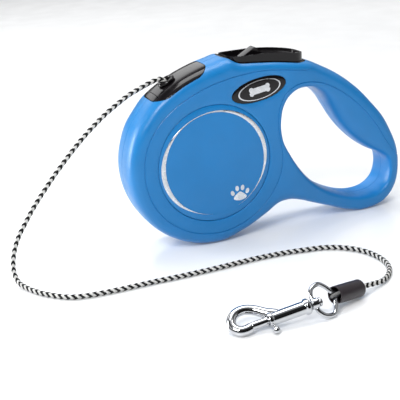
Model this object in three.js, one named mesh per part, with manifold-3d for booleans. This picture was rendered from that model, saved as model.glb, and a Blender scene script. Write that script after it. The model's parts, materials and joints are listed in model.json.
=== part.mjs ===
// Retractable dog leash: a clamshell housing with a sprung cord reel, a thumb brake with a lock,
// a cord outlet, the free cord with its sleeve, and a swivel snap hook on the far end.
// Millimetres. +X runs from the nose to the handle, -Y is the left side, +Z is up.
import * as THREE from 'three';
import { mergeVertices } from 'three/addons/utils/BufferGeometryUtils.js';
import { TessellateModifier } from 'three/addons/modifiers/TessellateModifier.js';
import Module from 'manifold-3d';

const wasm = await Module();
wasm.setup();

// ---- driving dimensions ----
const GAP = 0.3;                // clearance between pieces that touch
const NOSE_RADIUS = 41.6;
const AXLE_HEIGHT = 41;
const CENTRE_X = 31.27;         // half way between the nose and the tail, measured from the axle
const HALF_THICKNESS = 12.6;    // from the parting plane to the flat side
const INNER_HALF = 9.4;         // from the parting plane to the inside of the side wall
const WALL = 2.4;
const EDGE_POWER = 3.2;         // roundness of the rim, 2 would be an ellipse
const TAPER_START = 38;
const TAPER_END = 78;
const TAIL_THINNING = 0.74;     // thickness of the tail over the thickness of the disc
const OUTSIDE = { wall: 0, half: HALF_THICKNESS, steps: 3, piece: 26 };   // piece: longest edge on the side
const INSIDE = { wall: WALL, half: INNER_HALF, steps: 2, piece: 60 };

const COVER_RADIUS = 28.3;
const COVER_DEPTH = 1.7;
const COVER_CROWN = 0.7;
const BADGE = { x: 24, z: 73.2, long: 14, short: 5.4, tilt: 0.157, depth: 1.2, crown: 0.6 };

const REEL = { radius: 32.8, root: 30.2, teeth: 16, drum: 19.4, cup: 17.6, bore: 3.5,
  channel: 4.2, flange: 1.4, rim: 6.2 };
const CORD_DIAMETER = 2.4;
const AXLE_RADIUS = 3;
const SPRING_TURNS = 7;

const BUTTON = { front: 10.8, rear: 51.2, halfWidth: 8.6, corner: 6.5, bottom: 82.2 };
const BUTTON_TOP = [[10.8, 89.4], [13, 89.1], [17, 88.9], [22, 88.9], [27, 88.9], [33, 88.6],
  [40, 87.9], [46, 87], [51.2, 86.2]];
// The lock slides in a trough; behind it is the shallow dish that the thumb presses.
const TROUGH = { depth: 2.2, end: 31.4 };
const DISH_DEPTH = 0.7;
const LIP = 1.3;
const LOCK_HALF = 2.8;
const BEZEL = { wall: 1.1, bottom: 78.6 };
// The brake's tongue, which meets the teeth of the reel's flange.
const TONGUE = { front: 20.4, rear: 23.6, inner: 3.2, outer: 6.4, bottom: 67.3 };

const OUTLET = { x: -13.4, z: 80.7, tilt: 0.478, halfLength: 14.9, halfWidth: 11.4, depth: 4.2 };
const EYELET = { x: -16.8, z: 79.8, ring: 3.3 };

const SCREW = { head: 2.5, headHeight: 1.7, shank: 1.1, tip: -6.4, seat: 6.4 };
const SCREW_PLACES = [[-25.8, 67.8], [-26.6, 15], [25.6, 13.6], [57.6, 72.6], [98.8, 30.2]];

const SNAP = { pitch: -0.125, yaw: -0.02, roll: 0.47, barrel: 3.1, bore: 1.9, front: -20.6, rear: -2.2,
  knob: -19.4 };
const RING = { x: 10.5, y: -99.3, z: 6.3, nose: 6.3, collar: 6.6, wire: 1, tilt: 0.8, yaw: 0.26 };
const SLEEVE = { radius: 3.8, bore: 3.35, cavity: 8.4, length: 16.2, x: 14.6, y: -98.4, z: 6.4,
  yaw: 0.345, pitch: 0.152 };

// ---- outlines: x, z and the width of the rounding there ----
// The outer outline runs clockwise: nose arc, top, handle, tail, arm.
const OUTER_POINTS = [
  [-37.6, 60.2, 6.6], [-32.7, 67.3, 6.6], [-26.4, 74.1, 6.6], [-14.2, 81.6, 6.5], [-2.6, 86.1, 6.6],
  [5, 88, 6.8], [10.6, 89.1, 6.2], [15, 87.3, 5], [23, 86.3, 4.2], [33, 85.3, 4], [43, 83.8, 4],
  [52.5, 82.2, 4.6], [61.4, 78.1, 6], [71, 72.5, 6.6], [80.7, 64.8, 6.8], [88.8, 56.3, 7],
  [95.4, 48.3, 7], [99.8, 40.3, 6.4], [102.7, 33, 5], [104.1, 25.5, 4.2], [104.2, 18.5, 4.4],
  [103.1, 12, 4.8], [100.2, 6.2, 5.2], [95.4, 2, 5.2], [89.2, -0.1, 5], [81, -0.7, 5],
  [72, 1.7, 4.4], [62, 5.8, 4.2], [52.9, 9.4, 4.8], [46, 12.1, 6.4], [39.9, 13.4, 8.5],
  [33.8, 12.8, 8], [28, 9.6, 7], [22.5, 6.7, 6.6], [17.4, 4.2, 6.6], [11.4, 1.9, 6.6],
];
const NOSE_ARC = { first: -84, last: -192, step: -15, width: 6.7, stretch: 1.013 };
// The finger loop's outline runs clockwise from the left side over its top.
const LOOP_POINTS = [
  [35.9, 52, 2], [36.3, 57.4, 2.2], [37.6, 62.2, 2.6], [40.4, 66.4, 2.8], [44.6, 69, 2.9],
  [49.2, 69.6, 3], [53.9, 68.7, 3.4], [58.2, 66, 4.6], [61.9, 62, 7], [65.5, 55.8, 9.6],
  [70.8, 47.3, 10.8], [77.8, 39.3, 11], [86, 32.5, 9.8], [93.2, 28.5, 5.8], [97, 25.2, 2.4],
  [97.8, 19.4, 2], [95.7, 12.8, 2.2], [90.4, 8.9, 2.3], [82.6, 7.9, 2.3], [74.4, 9.4, 2.4],
  [66.6, 12.5, 2.6], [60, 16.2, 2.8], [54.8, 20.1, 3], [49.7, 25, 3.2], [45, 31.2, 3.2],
  [40.6, 38.4, 2.9], [37.1, 45.4, 2.3],
];
const OUTER_COUNT = 80;
const LOOP_COUNT = 48;

// The free cord, from inside the outlet to the sleeve: through the air, then along the floor.
const CORD_ROUTE = [
  [-16.7, 0, 80.2], [-19.9, 0, 82.05], [-23.6, 0, 81.5], [-29.8, 0, 79.2], [-36.1, -0.1, 76.6],
  [-42.6, -0.2, 72.8], [-49.1, -0.3, 68.5], [-59.6, -0.4, 59.9], [-71.5, -0.6, 48.1],
  [-79.1, -0.8, 39.6], [-85, -1, 32.5], [-90, -1.4, 25.7], [-94.5, -2, 19], [-97.4, -3, 12.4],
  [-98.9, -5.6, 6], [-98.4, -11, 2.1], [-96, -17.8, 1.4], [-91.6, -25.6, 1.3],
  [-85.9, -32.2, 1.3], [-80.1, -36.8, 1.3], [-72.6, -38.9, 1.3], [-60, -39.8, 1.3],
  [-44, -39.8, 1.3], [-27, -40.3, 1.3], [-10.6, -40, 1.3], [6, -39.3, 1.3], [21.3, -40.1, 1.3],
  [31.4, -41.8, 1.3], [41, -44.2, 1.3], [48.8, -49.6, 1.3], [54.2, -57.6, 1.3],
  [56, -67.4, 1.3], [54.4, -76, 1.3], [49.8, -83, 1.4], [43.8, -88, 1.9], [38, -90.4, 2.8],
  [33.6, -91.7, 3.5], [30.1, -92.75, 3.95],
];
const CORD_STEPS = 70;
const CORD_SIDES = 8;

// ---- helpers ----
const material = (color, roughness, metalness = 0) =>
  new THREE.MeshStandardMaterial({ color, roughness, metalness });
const BLUE = material(0x3f8fd6, 0.42);
const DARK_BLUE = material(0x3583c8, 0.4);
const BLACK = material(0x1b1a1b, 0.2);
const GREY_PLASTIC = material(0x8b8f94, 0.5);
const WHITE_PLASTIC = material(0xe4e4de, 0.45);
const STEEL = material(0x9fa4a8, 0.35, 1);
const SPRING_STEEL = material(0x6f7378, 0.4, 1);
const CHROME = material(0xd6d8da, 0.12, 1);
const BRAID = material(0x3a3a3c, 0.8);
const SLEEVE_BLACK = material(0x2a2227, 0.45);

function solid(geometry) {
  const bare = geometry.clone();
  for (const name of ['normal', 'uv']) {
    bare.deleteAttribute(name);
  }
  const merged = mergeVertices(bare, 1e-3);
  return new wasm.Manifold(new wasm.Mesh({
    numProp: 3,
    vertProperties: new Float32Array(merged.attributes.position.array),
    triVerts: new Uint32Array(merged.index.array),
  }));
}

function geometryOf(manifold) {
  const { vertProperties, triVerts } = manifold.getMesh();
  const geometry = new THREE.BufferGeometry();
  geometry.setAttribute('position', new THREE.BufferAttribute(vertProperties, 3));
  geometry.setIndex(new THREE.BufferAttribute(triVerts, 1));
  return geometry;
}

function cut(body, ...tools) {
  return tools.reduce((result, tool) => result.subtract(tool), body);
}

function join(...bodies) {
  return bodies.reduce((result, body) => result.add(body));
}

function mirrored(geometry) {
  const other = geometry.index ? geometry.toNonIndexed() : geometry.clone();
  const place = other.attributes.position;
  for (let corner = 0; corner < place.count; corner += 3) {
    const [a, b, c] = [0, 1, 2].map((k) => new THREE.Vector3().fromBufferAttribute(place, corner + k));
    [a, c, b].forEach((p, k) => place.setXYZ(corner + k, p.x, -p.y, p.z));
  }
  return other;
}

function box(x0, x1, y0, y1, z0, z1) {
  const geometry = new THREE.BoxGeometry(x1 - x0, y1 - y0, z1 - z0);
  return geometry.translate((x0 + x1) / 2, (y0 + y1) / 2, (z0 + z1) / 2);
}

// A cylinder along Y between two y values.
function post(radius, y0, y1, x, z, sides = 24) {
  return new THREE.CylinderGeometry(radius, radius, y1 - y0, sides).translate(x, (y0 + y1) / 2, z);
}

// A profile of [radius, y] pairs turned about the Y axis.
function turned(profile, sides) {
  return new THREE.LatheGeometry(profile.map(([r, y]) => new THREE.Vector2(r, y)), sides);
}

// An outline in the x-z plane, extruded from y0 to y1.
function slab(outline, y0, y1, curveSegments = 12) {
  const shape = outline instanceof THREE.Shape ? outline : new THREE.Shape(outline);
  const geometry = new THREE.ExtrudeGeometry(shape, { depth: y1 - y0, bevelEnabled: false, curveSegments });
  return geometry.rotateX(Math.PI / 2).translate(0, y1, 0);
}

// A plan outline in the x-y plane, extruded from z0 to z1.
function plate(shape, z0, z1, curveSegments = 6) {
  const options = { depth: z1 - z0, bevelEnabled: false, curveSegments };
  return new THREE.ExtrudeGeometry(shape, options).translate(0, 0, z0);
}

function roundedRectangle(x0, x1, halfWidth, corner) {
  const shape = new THREE.Shape();
  shape.moveTo(x0 + corner, -halfWidth);
  shape.lineTo(x1 - corner, -halfWidth);
  shape.absarc(x1 - corner, -halfWidth + corner, corner, -Math.PI / 2, 0);
  shape.absarc(x1 - corner, halfWidth - corner, corner, 0, Math.PI / 2);
  shape.lineTo(x0 + corner, halfWidth);
  shape.absarc(x0 + corner, halfWidth - corner, corner, Math.PI / 2, Math.PI);
  shape.absarc(x0 + corner, -halfWidth + corner, corner, Math.PI, 1.5 * Math.PI);
  return shape;
}

function circlePath(radius, sides) {
  const path = new THREE.Path();
  for (let i = 0; i < sides; i += 1) {
    const angle = -2 * Math.PI * i / sides;
    const method = i === 0 ? 'moveTo' : 'lineTo';
    path[method](radius * Math.cos(angle), radius * Math.sin(angle));
  }
  path.closePath();
  return path;
}

function circleShape(radius, sides) {
  return new THREE.Shape(circlePath(radius, sides).getPoints().reverse());
}

function tubeAlong(points, radius, steps, sides, closed = false) {
  const places = points.map((p) => new THREE.Vector3(...p));
  const curve = new THREE.CatmullRomCurve3(places, closed, 'centripetal');
  const options = { steps, bevelEnabled: false, extrudePath: curve };
  return new THREE.ExtrudeGeometry(circleShape(radius, sides), options);
}

const root = new THREE.Group();
const leash = new THREE.Group();
leash.position.x = -CENTRE_X;
root.add(leash);

function add(name, shape, look, parent = leash) {
  const geometry = shape instanceof THREE.BufferGeometry ? shape : geometryOf(shape);
  const mesh = new THREE.Mesh(geometry, look);
  mesh.name = name;
  parent.add(mesh);
  return mesh;
}

// ---- the housing's outside and inside ----
function nosePoints() {
  const { first, last, step, width, stretch } = NOSE_ARC;
  const points = [];
  for (let angle = first; angle >= last; angle += step) {
    const turn = THREE.MathUtils.degToRad(angle);
    const x = NOSE_RADIUS * stretch * Math.cos(turn);
    points.push([x, AXLE_HEIGHT + NOSE_RADIUS * Math.sin(turn), width]);
  }
  return points;
}

// Points of a closed outline at even steps, each with its inward or outward normal and rounding.
function sampleOutline(points, count, side) {
  const vectors = points.map(([x, z, width]) => new THREE.Vector3(x, width, z));
  const curve = new THREE.CatmullRomCurve3(vectors, true, 'centripetal');
  const places = curve.getSpacedPoints(count).slice(0, count);
  return places.map((place, i) => {
    const before = places[(i + count - 1) % count];
    const after = places[(i + 1) % count];
    const along = new THREE.Vector2(after.x - before.x, after.z - before.z).normalize();
    return { x: place.x, z: place.z, width: place.y, nx: side * along.y, nz: -side * along.x };
  });
}

const outerOutline = sampleOutline([...nosePoints(), ...OUTER_POINTS], OUTER_COUNT, 1);
const loopOutline = sampleOutline(LOOP_POINTS, LOOP_COUNT, -1);

function thinning(x) {
  const t = THREE.MathUtils.smoothstep(x, TAPER_START, TAPER_END);
  return 1 + (TAIL_THINNING - 1) * t;
}

// How far the rounding has come in, over its width, at a height over the half thickness.
function edgeDrop(height) {
  return 1 - (1 - height ** EDGE_POWER) ** (1 / EDGE_POWER);
}

function ringAt(outline, wall, height) {
  return outline.map(({ x, z, width, nx, nz }) => {
    const inward = wall + (width - wall) * edgeDrop(height);
    return new THREE.Vector2(Math.fround(x + nx * inward), Math.fround(z + nz * inward));
  });
}

function capTriangles(outer, loop) {
  const points = [...outer, ...loop];
  const faces = THREE.ShapeUtils.triangulateShape(outer.slice(), [loop.slice()]);
  return faces.flat().map((index) => points[index]);
}

// One half of the housing's body, from the parting plane out to the flat side (+Y).
function housingHalf({ wall, half, steps, piece }) {
  const corners = [];
  const place = (p, height) => corners.push(p.x, height * half * thinning(p.x), p.y);
  const heights = [];
  for (let step = 0; step <= steps; step += 1) {
    heights.push(Math.sin((Math.PI / 2) * step / steps));
  }
  for (const outline of [outerOutline, loopOutline]) {
    const rings = heights.map((height) => ringAt(outline, wall, height));
    for (let step = 0; step < steps; step += 1) {
      for (let i = 0; i < outline.length; i += 1) {
        const j = (i + 1) % outline.length;
        const quad = [[rings[step][i], heights[step]], [rings[step][j], heights[step]],
          [rings[step + 1][j], heights[step + 1]], [rings[step + 1][i], heights[step + 1]]];
        const order = outline === outerOutline ? [0, 1, 2, 0, 2, 3] : [0, 2, 1, 0, 3, 2];
        order.forEach((k) => place(...quad[k]));
      }
    }
  }
  const flat = (height, flip) => {
    const triangles = capTriangles(ringAt(outerOutline, wall, height), ringAt(loopOutline, wall, height));
    const geometry = new THREE.BufferGeometry();
    geometry.setAttribute('position', new THREE.Float32BufferAttribute(
      triangles.flatMap((p) => [p.x, 0, p.y]), 3));
    const fine = height === 0 ? geometry : new TessellateModifier(piece, 8).modify(geometry);
    const spots = fine.attributes.position;
    for (let i = 0; i < spots.count; i += 3) {
      for (const k of flip ? [0, 2, 1] : [0, 1, 2]) {
        place({ x: spots.getX(i + k), y: spots.getZ(i + k) }, height);
      }
    }
  };
  flat(0, false);
  flat(1, true);
  const geometry = new THREE.BufferGeometry();
  geometry.setAttribute('position', new THREE.Float32BufferAttribute(corners, 3));
  return geometry;
}

// The whole body, both halves in one.
function housingBody(layer) {
  const half = housingHalf(layer);
  return join(solid(half), solid(mirrored(half)));
}

// ---- the outlet, the button's bezel and the openings that they sit in ----
// A stadium prism whose long axis lies along the ramp and whose depth goes straight into it.
function outletPrism(grow) {
  const { halfLength, halfWidth, depth, tilt, x, z } = OUTLET;
  const shape = roundedRectangle(-halfLength - grow, halfLength + grow, halfWidth + grow, 7.2 + grow);
  const geometry = plate(shape, -depth - grow, 12);
  return geometry.rotateY(-tilt).translate(x, 0, z);
}

function bezelPrism(grow, z0, z1) {
  const { front, rear, halfWidth, corner } = BUTTON;
  const shape = roundedRectangle(front - grow, rear + grow, halfWidth + grow, corner + grow);
  return plate(shape, z0, z1);
}

const outside = housingBody(OUTSIDE);
const inside = housingBody(INSIDE);
const aboveFloor = solid(box(-60, 130, -20, 20, 0, 120));
const BEZEL_OUTER = GAP + BEZEL.wall;

function screwPost(x, z, side) {
  const inner = side * GAP / 2;
  const outer = side * (INNER_HALF * thinning(x) + 0.8);
  return solid(post(3.9, Math.min(inner, outer), Math.max(inner, outer), x, z, 18));
}

// A housing half: side -1 is the left one, side 1 is the right one, which holds the screws' heads.
function housingShell(side) {
  const [near, far] = side < 0 ? [-20, -GAP / 2] : [GAP / 2, 20];
  const halfSpace = solid(box(-60, 130, near, far, -10, 120));
  const along = (y0, y1) => (side < 0 ? [-y1, -y0] : [y0, y1]);
  const bosses = SCREW_PLACES.map(([x, z]) => screwPost(x, z, side));
  const axleBoss = solid(post(5.6, ...along(7.9, INNER_HALF + 0.6), 0, AXLE_HEIGHT, 28));
  let shell = cut(outside, inside).intersect(aboveFloor);
  shell = join(shell, axleBoss, ...bosses.map((boss) => boss.intersect(outside))).intersect(halfSpace);
  const holes = [
    outletPrism(GAP),
    bezelPrism(BEZEL_OUTER + GAP, BEZEL.bottom - GAP, 110),
    bezelPrism(-2, 60, 110),
    box(-22, -2, -3.4, 3.4, 66, 84),
    post(COVER_RADIUS + GAP, ...along(HALF_THICKNESS - COVER_DEPTH, 20), 0, AXLE_HEIGHT, 56),
    post(AXLE_RADIUS + GAP / 2, ...along(7, 10.2), 0, AXLE_HEIGHT, 24),
    badgePrism(GAP, ...along(HALF_THICKNESS - BADGE.depth, 20)),
  ];
  for (const [x, z] of SCREW_PLACES) {
    holes.push(side < 0 ? post(1.4, -6.9, 2, x, z, 12) : post(1.5, -2, 20, x, z, 12));
    if (side > 0) {
      holes.push(post(SCREW.head + GAP, screwSeat(x), 20, x, z, 18));
    }
  }
  return cut(shell, ...holes.map(solid));
}

// The seat of a screw's head lies a little under the outside, which thins towards the tail.
function screwSeat(x) {
  return SCREW.seat * thinning(x);
}

function badgePrism(grow, y0, y1) {
  const shape = new THREE.Shape();
  shape.absellipse(0, 0, BADGE.long + grow, BADGE.short + grow, 0, 2 * Math.PI);
  const options = { depth: y1 - y0, bevelEnabled: false, curveSegments: 28 };
  const geometry = new THREE.ExtrudeGeometry(shape, options);
  return geometry.rotateX(Math.PI / 2).rotateY(-BADGE.tilt).translate(BADGE.x, y1, BADGE.z);
}

// A shallow dome over a disc of radius 1, as [radius, height] pairs of 0 to 1.
function domeProfile(steps) {
  const pairs = [];
  for (let step = steps; step >= 0; step -= 1) {
    const angle = (Math.PI / 2) * step / steps;
    pairs.push([Math.sin(angle), Math.cos(angle)]);
  }
  return pairs;
}

function discCover(side) {
  const seat = HALF_THICKNESS - COVER_DEPTH + GAP;
  const edge = HALF_THICKNESS - 0.35;
  const rim = COVER_RADIUS - 0.9;
  const crown = [0, 0.5, 0.8, 1].map((t) => [rim * t, HALF_THICKNESS + COVER_CROWN * (1 - t * t)]);
  const profile = [[0, seat], [COVER_RADIUS, seat], [COVER_RADIUS, edge], ...crown.reverse()];
  const cover = turned(profile, 56).translate(0, 0, AXLE_HEIGHT);
  return side > 0 ? cover : mirrored(cover);
}

function badge(side) {
  const back = HALF_THICKNESS - BADGE.depth + GAP;
  const front = HALF_THICKNESS - 0.1;
  const dome = domeProfile(4).map(([r, h]) => [r, front + BADGE.crown * h]);
  const profile = [[0, back], [1, back], ...dome];
  const shape = turned(profile, 32).scale(BADGE.long, 1, BADGE.short);
  shape.rotateY(-BADGE.tilt).translate(BADGE.x, 0, BADGE.z);
  return side > 0 ? shape : mirrored(shape);
}

function outletPieces() {
  const hole = new THREE.CylinderGeometry(EYELET.ring + 0.1, EYELET.ring + 0.1, 30, 24);
  hole.rotateX(Math.PI / 2).rotateY(-OUTLET.tilt).translate(EYELET.x, 0, EYELET.z);
  const ring = solid(hole);
  const whole = cut(solid(outletPrism(0)).intersect(outside), ring);
  const seamX = -24.2;
  const front = whole.intersect(solid(box(-60, seamX, -20, 20, 50, 100)));
  const body = whole.intersect(solid(box(seamX + GAP, 20, -20, 20, 50, 100)));
  return { front, body };
}

// The eyelet is a rounded ring in the outlet's hole, with a flange of its own under the skin.
function eyelet() {
  const { ring } = EYELET;
  const profile = [[2.3, -1.6], [ring - GAP, -1.6], [ring - GAP, 0.7], [ring + 0.9, 0.7],
    [ring + 1.1, 1.2], [ring + 0.7, 1.9], [ring - 0.1, 2.1], [ring - 0.7, 1.6], [2.4, 0.3], [2.3, -1.6]];
  const shape = turned(profile, 28).rotateX(Math.PI / 2);
  return shape.rotateY(-OUTLET.tilt).translate(EYELET.x, 0, EYELET.z);
}

function buttonBezel() {
  const skin = solid(bezelPrism(BEZEL_OUTER, BEZEL.bottom, 110)).intersect(outside);
  return cut(skin, solid(bezelPrism(GAP, 60, 120)));
}

// ---- the brake: a thumb button, its carrier with the brake tongue, and the sliding lock ----
function buttonProfile(drop, low) {
  const { front, rear } = BUTTON;
  const top = new THREE.SplineCurve(BUTTON_TOP.map(([x, z]) => new THREE.Vector2(x, z - drop)));
  const foot = [new THREE.Vector2(rear, low), new THREE.Vector2(front, low)];
  return new THREE.Shape([...top.getPoints(14), ...foot]);
}

function brakeButton() {
  const { front, rear, halfWidth, corner, bottom } = BUTTON;
  const outline = plate(roundedRectangle(front, rear, halfWidth, corner), 70, 110);
  const body = solid(slab(buttonProfile(0, bottom), -10, 10)).intersect(solid(outline));
  const inner = roundedRectangle(front + LIP, rear - LIP, halfWidth - LIP, corner - LIP);
  const bowl = solid(plate(inner, 70, 110));
  const dish = solid(slab(buttonProfile(DISH_DEPTH, 100), -10, 10));
  const deep = solid(slab(buttonProfile(TROUGH.depth, 100), -10, 10));
  const trough = deep.intersect(solid(box(0, TROUGH.end, -10, 10, 60, 120)));
  return cut(body, bowl.intersect(dish), bowl.intersect(trough));
}

function lockSlider() {
  const ridge = [[19.8, 87.05], [20.6, 87.5], [26.5, 90.9], [27.4, 91.2], [28.2, 90.8], [30.4, 88],
    [30.8, 87.05]];
  return slab(ridge.map(([x, z]) => new THREE.Vector2(x, z)), -LOCK_HALF, LOCK_HALF);
}

function brakeCarrier() {
  const top = BUTTON.bottom - GAP;
  const bridge = solid(box(14, 46, -5.2, 5.2, top - 1.8, top));
  const { front, rear, inner, outer, bottom } = TONGUE;
  const tongue = solid(box(front, rear, inner, outer, bottom, top - 1));
  const guide = solid(box(34, 37, -2, 2, 77, top - 1));
  return join(bridge, tongue, guide);
}

function helix(radius, wire, turns, z0, z1, x, y, steps, sides = 5) {
  const points = [];
  const count = turns * 10;
  for (let i = 0; i <= count; i += 1) {
    const angle = 2 * Math.PI * turns * i / count;
    const z = z0 + wire + (z1 - z0 - 2 * wire) * i / count;
    points.push([x + radius * Math.cos(angle), y + radius * Math.sin(angle), z]);
  }
  return tubeAlong(points, wire, steps, sides);
}

// ---- the reel ----
// It rests with a gap between two teeth under the brake's tongue.
const REEL_TURN = Math.atan2(TONGUE.bottom - AXLE_HEIGHT, (TONGUE.front + TONGUE.rear) / 2);

function toothedFlange() {
  const { radius, root: low, teeth, channel, flange, drum } = REEL;
  const outline = [];
  for (let tooth = 0; tooth < teeth; tooth += 1) {
    const corners = [[-0.3, low], [-0.22, radius], [0.22, radius], [0.3, low]];
    for (const [share, r] of corners) {
      const angle = 2 * Math.PI * (tooth + 0.5 + share) / teeth + REEL_TURN;
      outline.push(new THREE.Vector2(r * Math.cos(angle), r * Math.sin(angle)));
    }
  }
  const shape = new THREE.Shape(outline);
  shape.holes.push(circlePath(drum - 1, 48));
  return slab(shape, channel, channel + flange);
}

function reel() {
  const { drum, cup, bore, channel, flange, rim, radius } = REEL;
  const profile = [[bore, -7.2], [8, -7.2], [8, -channel - flange], [radius - 0.6, -channel - flange],
    [radius - 0.6, -channel], [drum, -channel], [drum, rim], [cup, rim], [cup, -3.8], [bore, -3.8],
    [bore, -7.2]];
  const body = turned(profile, 48);
  return geometryOf(join(solid(body), solid(toothedFlange()))).translate(0, 0, AXLE_HEIGHT);
}

function woundCord() {
  const { drum, channel } = REEL;
  const [inner, outer, half] = [drum + GAP, 28.2, channel - GAP];
  const profile = [[inner, -half], [outer - 0.8, -half], [outer, -half + 0.8], [outer, half - 0.8],
    [outer - 0.8, half], [inner, half], [inner, -half]];
  return turned(profile, 48).translate(0, 0, AXLE_HEIGHT);
}

function springCover() {
  const { rim, cup } = REEL;
  const profile = [[3.6, rim + GAP], [cup + 1.6, rim + GAP], [cup + 1.6, rim + GAP + 0.9],
    [3.6, rim + GAP + 0.9], [3.6, rim + GAP]];
  return turned(profile, 40).translate(0, 0, AXLE_HEIGHT);
}

// The mainspring: a flat strip wound outwards from the arbor to the wall of the reel's cup.
function powerSpring() {
  const [inner, outer, thick] = [5.4, REEL.cup - GAP - 0.5, 0.45];
  const count = SPRING_TURNS * 20;
  const edge = (offset) => Array.from({ length: count + 1 }, (_, i) => {
    const angle = 2 * Math.PI * SPRING_TURNS * i / count;
    const r = inner + (outer - inner - thick) * i / count + offset;
    return new THREE.Vector2(r * Math.cos(angle), r * Math.sin(angle));
  });
  return slab([...edge(0), ...edge(thick).reverse()], -3.3, 5.6).translate(0, 0, AXLE_HEIGHT);
}

function springArbor() {
  const [bore, size] = [AXLE_RADIUS + GAP / 2, 4.8];
  const sleeve = solid(turned([[bore, -3.4], [size, -3.4], [size, 5.7], [bore, 5.7], [bore, -3.4]], 32));
  return cut(sleeve, solid(box(0, 8, -2.4, 4.8, -0.35, 0.35))).translate([0, 0, AXLE_HEIGHT]);
}

function washer(y) {
  const profile = [[3.4, y], [5.2, y], [5.2, y + 0.35], [3.4, y + 0.35], [3.4, y]];
  return turned(profile, 24).translate(0, 0, AXLE_HEIGHT);
}

// ---- fasteners ----
function housingScrew(x, z) {
  const seat = screwSeat(x) + GAP;
  const { head, headHeight, shank, tip } = SCREW;
  const end = tip * thinning(x) ** 2;
  const profile = [[0, end], [shank * 0.5, end], [shank, end + 1.2], [shank, seat], [head, seat],
    [head, seat + 0.9], [head * 0.7, seat + headHeight], [0, seat + headHeight]];
  const top = seat + headHeight;
  const bar = [-1.6, 1.6, top - 0.8, top + 1, -0.3, 0.3];
  const cross = [box(...bar), box(bar[4], bar[5], bar[2], bar[3], bar[0], bar[1])];
  return cut(solid(turned(profile, 14)), ...cross.map(solid)).translate([x, 0, z]);
}

// ---- the cord and what is on its end ----
function freeCord() {
  return tubeAlong(CORD_ROUTE, CORD_DIAMETER / 2, CORD_STEPS, CORD_SIDES);
}

// A turned shape whose axis lies along +X, from a profile of [radius, x] pairs.
function turnedAlongX(profile, sides) {
  return turned(profile, sides).rotateZ(-Math.PI / 2);
}

const sleeveGroup = new THREE.Group();
sleeveGroup.position.set(SLEEVE.x, SLEEVE.y, SLEEVE.z);
sleeveGroup.rotation.set(0, SLEEVE.pitch, SLEEVE.yaw, 'ZYX');
leash.add(sleeveGroup);

function cordSleeve() {
  const { radius, bore, cavity, length } = SLEEVE;
  const profile = [[bore, 0], [radius - 0.15, 0], [radius, 0.3], [radius, length - 1], [radius - 0.9, length],
    [0, length], [0, cavity], [bore, cavity], [bore, 0]];
  return turnedAlongX(profile, 28);
}

// The cord's end loop passes round the ring inside the sleeve.
function cordLoop() {
  const [end, turn, half] = [SLEEVE.cavity - 0.4, 1.2, 2.4];
  const points = [[end, 0, half], [4.6, 0, half], [turn, 0, half], [turn - half, 0, 0], [turn, 0, -half],
    [4.6, 0, -half], [end, 0, -half]];
  return tubeAlong(points, 0.7, 20, 8).rotateX(RING.tilt);
}

const ringGroup = new THREE.Group();
ringGroup.position.set(RING.x, RING.y, RING.z);
ringGroup.rotation.set(RING.tilt, 0, RING.yaw, 'ZXY');
leash.add(ringGroup);

function swivelRing() {
  const { nose, collar, wire, tilt, yaw } = RING;
  const side = [[nose - 0.4, 0.9], [nose - 1.3, 1.5], [3.9, 1.95], [2.1, 4.6], [-0.4, 6.8], [-4.4, 6.1],
    [-6.5, 3.4]];
  const back = side.map(([x, y]) => [x, -y, 0]).reverse();
  const points = [[nose, 0, 0], ...side.map(([x, y]) => [x, y, 0]), [-collar, 0, 0], ...back];
  const bow = solid(tubeAlong(points, wire, 44, 8, true));
  // The collar keeps to the snap's own axis, so the ring's yaw and tilt are taken out again.
  const aligned = (shape) => {
    const turn = new THREE.Matrix4().makeRotationFromEuler(new THREE.Euler(tilt, 0, yaw, 'ZXY')).invert();
    const pose = new THREE.Matrix4().makeRotationFromEuler(new THREE.Euler(0, SNAP.pitch, SNAP.yaw, 'ZYX'));
    return solid(shape.applyMatrix4(pose).applyMatrix4(turn).translate(-collar, 0, 0));
  };
  const barrel = aligned(turnedAlongX([[0, -1.5], [2.3, -1.5], [2.3, 1.3], [0, 1.3]], 18));
  const bore = aligned(turnedAlongX([[0, -4], [1.4, -4], [1.4, 4], [0, 4]], 16));
  return cut(join(bow, barrel), bore);
}

const snapGroup = new THREE.Group();
const collarX = RING.x - RING.collar * Math.cos(RING.yaw);
snapGroup.position.set(collarX, RING.y - RING.collar * Math.sin(RING.yaw), RING.z);
snapGroup.rotation.set(SNAP.roll, SNAP.pitch, SNAP.yaw, 'ZYX');
leash.add(snapGroup);

// The hook's bow leaves the barrel's far side, runs round the nose and comes back to the bolt.
const BOW_POINTS = [[-16, 1.2, 0], [-19.6, 3.6, 0], [-23.4, 6.8, 0], [-27.6, 8.6, 0], [-31.8, 8, 0],
  [-34.6, 5.2, 0], [-35.1, 1.9, 0], [-33.2, -0.5, 0], [-30.6, -1, 0], [-28.2, -0.6, 0]];

function snapBody() {
  const { barrel, front, rear } = SNAP;
  const profile = [[0, front], [barrel - 0.5, front], [barrel, front + 0.5], [barrel, front + 1.4],
    [barrel - 0.4, front + 1.9], [barrel - 0.4, rear - 2.6], [barrel + 0.3, rear - 2],
    [barrel + 0.3, rear - 0.9], [barrel - 0.5, rear], [0, rear]];
  const tube = solid(turnedAlongX(profile, 24));
  const bow = solid(tubeAlong(BOW_POINTS, 1.75, 34, 10));
  const hollow = [[0, front - 1], [SNAP.bore, front - 1], [SNAP.bore, rear - 4], [0, rear - 4]];
  const bore = solid(turnedAlongX(hollow, 18));
  const slot = solid(box(front - 1, -8, -6, 0, -0.85, 0.85));
  return cut(join(tube, bow), bore, slot);
}

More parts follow.
